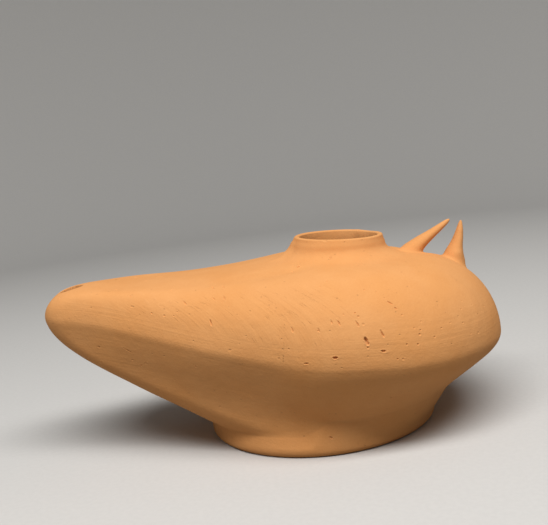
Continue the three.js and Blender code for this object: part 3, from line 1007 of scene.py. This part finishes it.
    def work_surface(self, form, surface, sheet, levels, marks):
        """Moves the skin in and out along its normals: hand-made swells, a crisper edge on the nozzle's
        sides, turning rings, pits and gouges.
        """
        mesh = sheet.data
        points = coordinates(mesh)
        normals = read(mesh.vertex_normals, "vector")
        above = self.edge_heights(form, levels, points)
        x, z = points[:, 0] / MM, points[:, 2] / MM
        free = between(z, *SWELLS_FROM) * (1 - between(z, *SWELLS_TO))
        move = surface.swell * free * np.clip(waves(points, surface.swell_pitch, SWELL_SEED), -1, 1)
        on_nozzle = (1 - between(x, *CRISP_TO_BODY)) * normals[:, 1] ** 2
        crisp = np.exp(-np.hypot(above / (CRISP_REACH * MM), CRISP_MIDDLE[0])) - CRISP_MIDDLE[1]
        move += CRISP_EDGE * MM * on_nozzle * crisp
        steep = free * (1 - between(normals[:, 2], *RINGS_WHERE_STEEP))
        move -= surface.ring_depth * steep * (0.5 + 0.5 * rings(above, points, surface.ring_pitch))
        # Painted shade in each mark's bowl, darker as the mark deepens
        pit_shade = np.zeros(len(points))
        # Painted highlight, partly edge wear, on the raised rims of marks and on crumbs
        rim = np.zeros(len(points))
        uneven = waves(points, MARK_NOISE_PITCH * MM, MARK_NOISE_SEED)
        for mark in marks:
            depth = mark[3]
            close = np.where(np.linalg.norm(points - mark[0], axis=1) < MARK_SEARCH * MM)[0]
            away = mark_reach(points[close], mark) * (1 + MARK_UNEVEN * uneven[close])
            bowl = np.clip(1 - away**2, 0, 1) ** BOWL_FULLNESS
            ridge = np.exp(-(((away - MARK_RIM_AT) / MARK_RIM_WIDTH) ** 2))
            move[close] -= depth * (bowl - (MARK_RIM * ridge if depth > 0 else 0))
            dark = np.clip(depth / (DARK_DEPTH * MM), 0, 1) ** DARK_POWER
            pit_shade[close] = np.maximum(pit_shade[close], bowl * dark)
            rim[close] = np.maximum(rim[close], ridge if depth > 0 else bowl)
        move_to(mesh, np.clip(points + normals * move[:, None], *np.array(cad_box)))
        for name, values in ((PIT_SHADE, pit_shade), (RIM_WEAR_AND_HIGHLIGHT, rim), (ABOVE_EDGE, above)):
            mesh.attributes.new(name, "FLOAT", "POINT").data.foreach_set("value", values)


# Materials


class Nodes:
    """Adds nodes to a tree, with their settings, values and links."""

    def __init__(self, tree):
        self.tree = tree
        self.column = 0

    def add(self, kind, inputs=None, **settings):
        node = self.tree.nodes.new(kind)
        node.location = (self.column * 180, 0)
        self.column += 1
        for name, value in settings.items():
            setattr(node, name, value)
        for name, value in (inputs or {}).items():
            if isinstance(value, bpy.types.NodeSocket):
                self.tree.links.new(value, node.inputs[name])
            else:
                node.inputs[name].default_value = value
        return node

    def math(self, operation, a, b=0.5, clamp=False):
        return self.add("ShaderNodeMath", {0: a, 1: b}, operation=operation, use_clamp=clamp).outputs[0]

    def product(self, first, *others):
        for other in others:
            first = self.math("MULTIPLY", first, other)
        return first

    def attribute(self, name):
        return self.add("ShaderNodeAttribute", attribute_name=name).outputs["Fac"]

    def add_to(self, base, value, factor):
        """The base with the value times the factor added."""
        return self.add("ShaderNodeMath", {0: value, 1: factor, 2: base}, operation="MULTIPLY_ADD").outputs[0]

    def blend(self, factor, a, b):
        """Colour a where the factor is 0 and b where it is 1."""
        node = self.add("ShaderNodeMix", {0: factor, 6: a, 7: b}, data_type="RGBA")
        return node.outputs[2]

    def tint(self, base, other, mask, share):
        """The base with that share of the other colour where the mask is 1."""
        return self.blend(self.math("MULTIPLY", mask, share), base, other)

    def ramp(self, value, low, high, to_low=0.0, to_high=1.0):
        values = {0: value, 1: low, 2: high, 3: to_low, 4: to_high}
        return self.add("ShaderNodeMapRange", values, interpolation_type="SMOOTHSTEP").outputs[0]

    def noise(self, vector, scale, detail=2.0, roughness=0.5):
        values = {"Vector": vector, "Scale": scale, "Detail": detail, "Roughness": roughness}
        return self.add("ShaderNodeTexNoise", values).outputs[0]


def solid_colour(value):
    return (*value, 1.0)


def group(name, inputs, outputs):
    """An empty node group with named float, colour or vector sockets, and its two end nodes."""
    tree = bpy.data.node_groups.new(name, "ShaderNodeTree")
    for label, kind, default in inputs:
        socket = tree.interface.new_socket(label, in_out="INPUT", socket_type=f"NodeSocket{kind}")
        if default is not None:
            socket.default_value = default
    for label, kind in outputs:
        tree.interface.new_socket(label, in_out="OUTPUT", socket_type=f"NodeSocket{kind}")
    nodes = Nodes(tree)
    return nodes, nodes.add("NodeGroupInput").outputs, tree


def mottle_group():
    """Uneven firing: patches a finger wide, and smaller clouding inside them."""
    nodes, given, tree = group(
        "Uneven firing",
        (("Vector", "Vector", None), ("Patch Scale", "Float", 55.0), ("Cloud Scale", "Float", 260.0)),
        (("Patches", "Float"), ("Clouds", "Float")),
    )
    patches = nodes.ramp(nodes.noise(given["Vector"], given["Patch Scale"], 3.0, 0.55), 0.32, 0.68)
    clouds = nodes.ramp(nodes.noise(given["Vector"], given["Cloud Scale"], 4.0, 0.6), 0.3, 0.7)
    nodes.add("NodeGroupOutput", {"Patches": patches, "Clouds": clouds})
    return tree


def grain_group():
    """The clay's own body: fine grain, dark specks, and pinholes where grains fell out."""
    nodes, given, tree = group(
        "Clay grain",
        (("Vector", "Vector", None), ("Grain Scale", "Float", 2300.0), ("Hole Scale", "Float", 700.0)),
        (("Grain", "Float"), ("Specks", "Float"), ("Holes", "Float")),
    )
    grain = nodes.noise(given["Vector"], given["Grain Scale"], 3.0, 0.65)
    cell = nodes.add("ShaderNodeTexVoronoi", {"Vector": given["Vector"], "Scale": given["Hole Scale"]})
    apart = nodes.add("ShaderNodeSeparateColor", {0: cell.outputs["Color"]})
    rare = nodes.ramp(apart.outputs[0], 0.8, 0.86)
    holes = nodes.math("MULTIPLY", nodes.ramp(cell.outputs["Distance"], 0.07, 0.17, 1.0, 0.0), rare)
    rarer = nodes.ramp(apart.outputs[1], 0.75, 0.82)
    specks = nodes.math("MULTIPLY", nodes.ramp(cell.outputs["Distance"], 0.06, 0.14, 1.0, 0.0), rarer)
    nodes.add("NodeGroupOutput", {"Grain": grain, "Specks": specks, "Holes": holes})
    return tree


def lines_group():
    """Lines drawn in the clay: noise stretched along the two level directions of the vector given."""
    nodes, given, tree = group(
        "Drawn lines",
        (("Vector", "Vector", None), ("Scale", "Float", 900.0), ("Stretch", "Float", 0.04)),
        (("Lines", "Float"),),
    )
    stretch = nodes.add("ShaderNodeCombineXYZ", {0: given["Stretch"], 1: given["Stretch"], 2: 1.0})
    drawn = nodes.add(
        "ShaderNodeVectorMath", {0: given["Vector"], 1: stretch.outputs[0]}, operation="MULTIPLY"
    )
    lines = nodes.noise(drawn.outputs[0], given["Scale"], 3.0, 0.6)
    nodes.add("NodeGroupOutput", {"Lines": lines})
    return tree


def shared_group(name, make):
    return bpy.data.node_groups.get(name) or make()


def use_group(nodes, tree, **values):
    node = nodes.add("ShaderNodeGroup", node_tree=tree)
    for name, value in values.items():
        socket = node.inputs[name.replace("_", " ")]
        if isinstance(value, bpy.types.NodeSocket):
            nodes.tree.links.new(value, socket)
        else:
            socket.default_value = value
    return node.outputs


def drawn_lines(nodes, vector, scale, stretch):
    tree = shared_group("Drawn lines", lines_group)
    return use_group(nodes, tree, Vector=vector, Scale=scale, Stretch=stretch)["Lines"]


def new_material(name):
    material = bpy.data.materials.new(name)
    material.use_nodes = True
    material.node_tree.nodes.clear()
    return material, Nodes(material.node_tree)


# The strokes: where they start, how far down they run, how many millimetres they go along for each one
# down at the start, and how quickly they steepen
STROKE_TOP = 39.2
STROKE_RUN = 12.0
STROKE_SLANT = 1.8
STROKE_TURN = 0.069


def stroke_vector(nodes, where):
    """Object coordinates bent so that the smoothing strokes on the nozzle's side run straight in them."""
    down = nodes.math("SUBTRACT", STROKE_TOP * MM, where[2], clamp=True)
    down = nodes.math("MINIMUM", down, STROKE_RUN * MM)
    slant = nodes.math("MULTIPLY", down, STROKE_SLANT)
    turn = nodes.math("MULTIPLY", nodes.math("MULTIPLY", down, down), STROKE_TURN / MM)
    along = nodes.math("ADD", nodes.math("SUBTRACT", where[0], slant), turn)
    return nodes.add("ShaderNodeCombineXYZ", {0: where[1], 1: where[2], 2: along}).outputs[0]


# Where each kind of line shows, as the ends of its fading in and out, in millimetres
STROKES_FROM_NOSE = (-52, -38)
STROKES_TO_BODY = (-2, 9)
STROKES_ABOVE_EDGE = (3.2, 5.2)
STROKES_TO_TOP = (36.5, 39)
BAND_ABOVE_EDGE = (1.2, 3, 4.5, 7)
RINGS_TO_TOP = (8, 12)
GRAINY_ABOVE_EDGE = (-1, 0.3, 2.2, 4)
RING_SHARE = 0.3  # height of the rings against the strokes, and as much again in the band
DASH_SHARE = 0.45

# How close together each kind of line is drawn, as a noise scale, and how stretched it is along its run
STROKE_LINES = (700.0, 0.06)
DASH_LINES = (1300.0, 0.2)
RING_LINES = (1500.0, 0.03)
INSIDE_RINGS = (900.0, 0.03)


def fade_in(nodes, value, ends):
    return nodes.ramp(value, ends[0] * MM, ends[1] * MM)


def fade_out(nodes, value, ends):
    return nodes.ramp(value, ends[0] * MM, ends[1] * MM, 1.0, 0.0)


def fade_between(nodes, value, ends):
    return nodes.product(fade_in(nodes, value, ends[:2]), fade_out(nodes, value, ends[2:]))


def outside_lines(nodes, here):
    """Height of the lines drawn in the outside, and how grainy the band above the widest line is."""
    where = nodes.add("ShaderNodeSeparateXYZ", {0: here}).outputs
    above = nodes.attribute(ABOVE_EDGE)
    level = nodes.add("ShaderNodeCombineXYZ", {0: where[0], 1: where[1], 2: above}).outputs[0]
    slanted = stroke_vector(nodes, where)
    strokes = drawn_lines(nodes, slanted, *STROKE_LINES)
    dashes = drawn_lines(nodes, slanted, *DASH_LINES)
    rings = drawn_lines(nodes, level, *RING_LINES)
    on_side = nodes.product(
        fade_in(nodes, where[0], STROKES_FROM_NOSE),
        fade_out(nodes, where[0], STROKES_TO_BODY),
        fade_in(nodes, above, STROKES_ABOVE_EDGE),
        fade_out(nodes, where[2], STROKES_TO_TOP),
    )
    band = fade_between(nodes, above, BAND_ABOVE_EDGE)
    ring_share = nodes.add_to(RING_SHARE, band, RING_SHARE)
    ring_share = nodes.product(ring_share, fade_out(nodes, above, RINGS_TO_TOP))
    ringed = nodes.product(nodes.math("SUBTRACT", rings, 0.5), ring_share)
    stroked = nodes.math("SUBTRACT", strokes, 0.5)
    stroked = nodes.math("SUBTRACT", stroked, nodes.ramp(dashes, 0.6, 0.72, 0.0, DASH_SHARE))
    lines = nodes.add("ShaderNodeMix", {0: on_side, 2: ringed, 3: stroked}, data_type="FLOAT").outputs[0]
    return lines, fade_between(nodes, above, GRAINY_ABOVE_EDGE)


def inside_lines(nodes, here):
    """Height of the throwing rings inside."""
    return nodes.math("SUBTRACT", drawn_lines(nodes, here, *INSIDE_RINGS), 0.5), 0.0


# How much of the paler, deeper or hollow colour each thing brings in. The line, hole and pit shares are
# painted shade in grooves, pinholes and pits, and the rim share is a painted highlight, partly edge wear.
PATCH_TINT = 0.22
CLOUD_TINT = 0.16
# Painted shade in the grooves of the drawn lines
LINE_SHADE_TINT = 0.14
GRAIN_TINT = 0.12
SPECK_TINT = 0.22
# Painted shade in the pinholes
HOLE_SHADE_TINT = 0.25
# Painted highlight, partly edge wear, on rims and crumbs
RIM_WEAR_AND_HIGHLIGHT_TINT = 0.09
# Painted shade in the pits
PIT_SHADE_TINT = 0.45


def clay_colour(nodes, finish, firing, grain, lines):
    """Clay colour with its patches and specks, painted shade in the grooves of the lines, in pinholes and in
    pits, and a painted highlight, partly edge wear, on the rims of the marks and on crumbs.
    """
    body, pale, deep, hollow = (
        solid_colour(value) for value in (finish.body, finish.pale, finish.deep, finish.hollow)
    )
    base = nodes.tint(body, pale, firing["Patches"], PATCH_TINT)
    base = nodes.tint(base, deep, firing["Clouds"], CLOUD_TINT)
    # Painted shade: the deep colour where the drawn lines are low, in their grooves
    base = nodes.blend(nodes.ramp(lines, -0.2, 0.15, LINE_SHADE_TINT, 0.0), base, deep)
    base = nodes.blend(nodes.ramp(grain["Grain"], 0.4, 0.7, 0.0, GRAIN_TINT), base, pale)
    base = nodes.tint(base, hollow, grain["Specks"], SPECK_TINT)
    # Painted shade in the pinholes
    base = nodes.tint(base, hollow, grain["Holes"], HOLE_SHADE_TINT)
    # Painted highlight, partly edge wear, on the raised rims of marks and on crumbs
    base = nodes.tint(base, pale, nodes.attribute(RIM_WEAR_AND_HIGHLIGHT), RIM_WEAR_AND_HIGHLIGHT_TINT)
    # Painted shade in the pits, darker as they deepen
    return nodes.tint(base, hollow, nodes.attribute(PIT_SHADE), PIT_SHADE_TINT)


# Fine relief: its full height in millimetres, and what each part of it adds as a share of that
RELIEF = 0.1
GRAIN_HEIGHT = 0.42
BAND_GRAIN = 0.15
CLOUD_HEIGHT = 0.5
HOLE_DEPTH = 0.7
OUTSIDE_LINES = 1.3
INSIDE_LINES = 1.2
ROUGHNESS_SPREAD = 0.06


def clay_material(name, finish, lines_of, line_height):
    material, nodes = new_material(name)
    here = nodes.add("ShaderNodeTexCoord").outputs["Object"]
    firing = use_group(nodes, shared_group("Uneven firing", mottle_group), Vector=here)
    grain = use_group(nodes, shared_group("Clay grain", grain_group), Vector=here)
    lines, grainy = lines_of(nodes, here)
    base = clay_colour(nodes, finish, firing, grain, lines)
    height = nodes.math("MULTIPLY", grain["Grain"], nodes.add_to(GRAIN_HEIGHT, grainy, BAND_GRAIN))
    height = nodes.add_to(height, lines, line_height)
    height = nodes.add_to(height, firing["Clouds"], CLOUD_HEIGHT)
    height = nodes.add_to(height, grain["Holes"], -HOLE_DEPTH)
    bump = nodes.add("ShaderNodeBump", {"Strength": 1.0, "Distance": RELIEF * MM, "Height": height})
    smoothest, roughest = finish.roughness - ROUGHNESS_SPREAD, finish.roughness + ROUGHNESS_SPREAD
    rough = nodes.ramp(grain["Grain"], 0.3, 0.7, smoothest, roughest)
    values = {"Base Color": base, "Roughness": rough, "Specular IOR Level": finish.sheen}
    shader = nodes.add("ShaderNodeBsdfPrincipled", {**values, "Normal": bump.outputs[0]})
    nodes.add("ShaderNodeOutputMaterial", {"Surface": shader.outputs[0]})
    return material


def fired_clay(finish):
    return clay_material("Fired clay", finish, outside_lines, OUTSIDE_LINES)


def clay_inside(finish):
    return clay_material("Clay inside", finish, inside_lines, INSIDE_LINES)


FIBRE_SCALE = 900.0
FIBRE_SHADE = 0.97  # of the paper's colour, between its fibres


def paper_material(studio):
    material, nodes = new_material("Studio paper")
    here = nodes.add("ShaderNodeTexCoord").outputs["Object"]
    fibre = nodes.ramp(nodes.noise(here, FIBRE_SCALE, 3.0), 0.3, 0.7)
    paper = solid_colour(studio.paper)
    soft = solid_colour([FIBRE_SHADE * value for value in studio.paper])
    absorbed = solid_colour([studio.bounce * value for value in studio.paper])
    seen = nodes.add("ShaderNodeLightPath").outputs["Is Camera Ray"]
    returned = nodes.blend(seen, absorbed, nodes.blend(fibre, paper, soft))
    shader = nodes.add(
        "ShaderNodeBsdfPrincipled", {"Base Color": returned, "Roughness": 0.95, "Specular IOR Level": 0.1}
    )
    nodes.add("ShaderNodeOutputMaterial", {"Surface": shader.outputs[0]})
    return material


FLOOR_RADIUS = 420 * MM
SWEEP_RADIUS = 260 * MM
WALL_HEIGHT = 700 * MM
SWEEP_STEPS = 16
STAGE_SIDES = 96
LIGHT_PLACE = (-5, -245, 545)
LIGHT_TARGET = (-9, 0, 22)
LIGHT_SIZE = (720, 170)
NEAREST_SEEN = 10 * MM
FARTHEST_SEEN = 10.0


class LAMP_OT_add_stage(Operator):
    """Adds the pale floor that sweeps up into a backdrop all round, the soft light and the camera"""

    bl_idname = "oil_lamp.add_stage"
    bl_label = "Add Studio"

    def execute(self, context):
        studio = context.scene.studio
        self.add_floor(studio)
        self.add_light("Key light", studio.key)
        self.add_world(context, studio)
        self.add_camera(context)
        return {"FINISHED"}

    def add_floor(self, studio):
        nothing_selected()
        bpy.ops.mesh.primitive_circle_add(vertices=STAGE_SIDES, radius=FLOOR_RADIUS, fill_type="NGON")
        floor = bpy.context.object
        floor.name = "studio_floor"
        edit(floor, "EDGE")
        radius = FLOOR_RADIUS
        height = 0.0
        steps = []
        for turn in turns(SWEEP_STEPS, 0, 90):
            out = FLOOR_RADIUS + SWEEP_RADIUS * math.sin(turn)
            steps.append((out, SWEEP_RADIUS * (1 - math.cos(turn))))
        steps.append((FLOOR_RADIUS + SWEEP_RADIUS, WALL_HEIGHT))
        bpy.ops.mesh.select_all(action="DESELECT")
        bpy.ops.mesh.select_non_manifold()
        for out, up in steps:
            bpy.ops.mesh.extrude_edges_move(TRANSFORM_OT_translate={"value": (0, 0, up - height)})
            bpy.ops.transform.resize(value=(out / radius, out / radius, 1.0), center_override=(0, 0, up))
            radius, height = out, up
        bpy.ops.mesh.select_all(action="SELECT")
        bpy.ops.mesh.normals_make_consistent(inside=True)
        leave_edit()
        floor.data.materials.append(paper_material(studio))
        bpy.ops.object.shade_smooth()

    def add_light(self, name, power):
        nothing_selected()
        where = Vector(LIGHT_PLACE) * MM
        bpy.ops.object.light_add(type="AREA", location=where)
        light = bpy.context.object
        light.name = name
        light.data.energy = power
        light.data.shape = "RECTANGLE"
        light.data.size = LIGHT_SIZE[0] * MM
        light.data.size_y = LIGHT_SIZE[1] * MM
        light.rotation_euler = (Vector(LIGHT_TARGET) * MM - where).to_track_quat("-Z", "Y").to_euler()

    def add_world(self, context, studio):
        world = bpy.data.worlds.new("Studio light")
        world.use_nodes = True
        background = world.node_tree.nodes["Background"]
        background.inputs["Color"].default_value = (1.0, 1.0, 1.0, 1.0)
        background.inputs["Strength"].default_value = studio.fill
        context.scene.world = world
        context.scene.view_settings.view_transform = "Standard"

    def add_camera(self, context):
        nothing_selected()
        bpy.ops.object.camera_add(location=CAMERA_PLACE, rotation=camera_turn().to_euler())
        camera = bpy.context.object
        camera.data.sensor_width = SENSOR_WIDTH
        camera.data.lens = FOCAL_PIXELS * SENSOR_WIDTH / PHOTO_WIDTH
        camera.data.clip_start = NEAREST_SEEN
        camera.data.clip_end = FARTHEST_SEEN
        context.scene.camera = camera


class LAMP_PT_panel(Panel):
    """Lists the lamp's operators and its sizes"""

    bl_idname = "LAMP_PT_panel"
    bl_label = "Oil Lamp"
    bl_space_type = "VIEW_3D"
    bl_region_type = "UI"
    bl_category = "Oil Lamp"

    def draw(self, context):
        for operator in OPERATORS:
            self.layout.operator(operator.bl_idname)
        for name, settings in SETTINGS.items():
            box = self.layout.box()
            box.label(text=settings.__name__)
            for item in settings.__annotations__:
                box.prop(getattr(context.scene, name), item)


SETTINGS = {
    "lamp_form": LampForm,
    "lamp_surface": LampSurface,
    "clay_finish": ClayFinish,
    "studio": Studio,
}
OPERATORS = (LAMP_OT_add_pot, LAMP_OT_add_stage)


def register():
    for cls in (*SETTINGS.values(), *OPERATORS, LAMP_PT_panel):
        bpy.utils.register_class(cls)
    for name, settings in SETTINGS.items():
        setattr(bpy.types.Scene, name, PointerProperty(type=settings))


def unregister():
    for name in SETTINGS:
        delattr(bpy.types.Scene, name)
    for cls in reversed((*SETTINGS.values(), *OPERATORS, LAMP_PT_panel)):
        bpy.utils.unregister_class(cls)


def main():
    register()
    bpy.ops.oil_lamp.add_pot()
    bpy.ops.oil_lamp.add_stage()


if __name__ == "__main__":
    main()
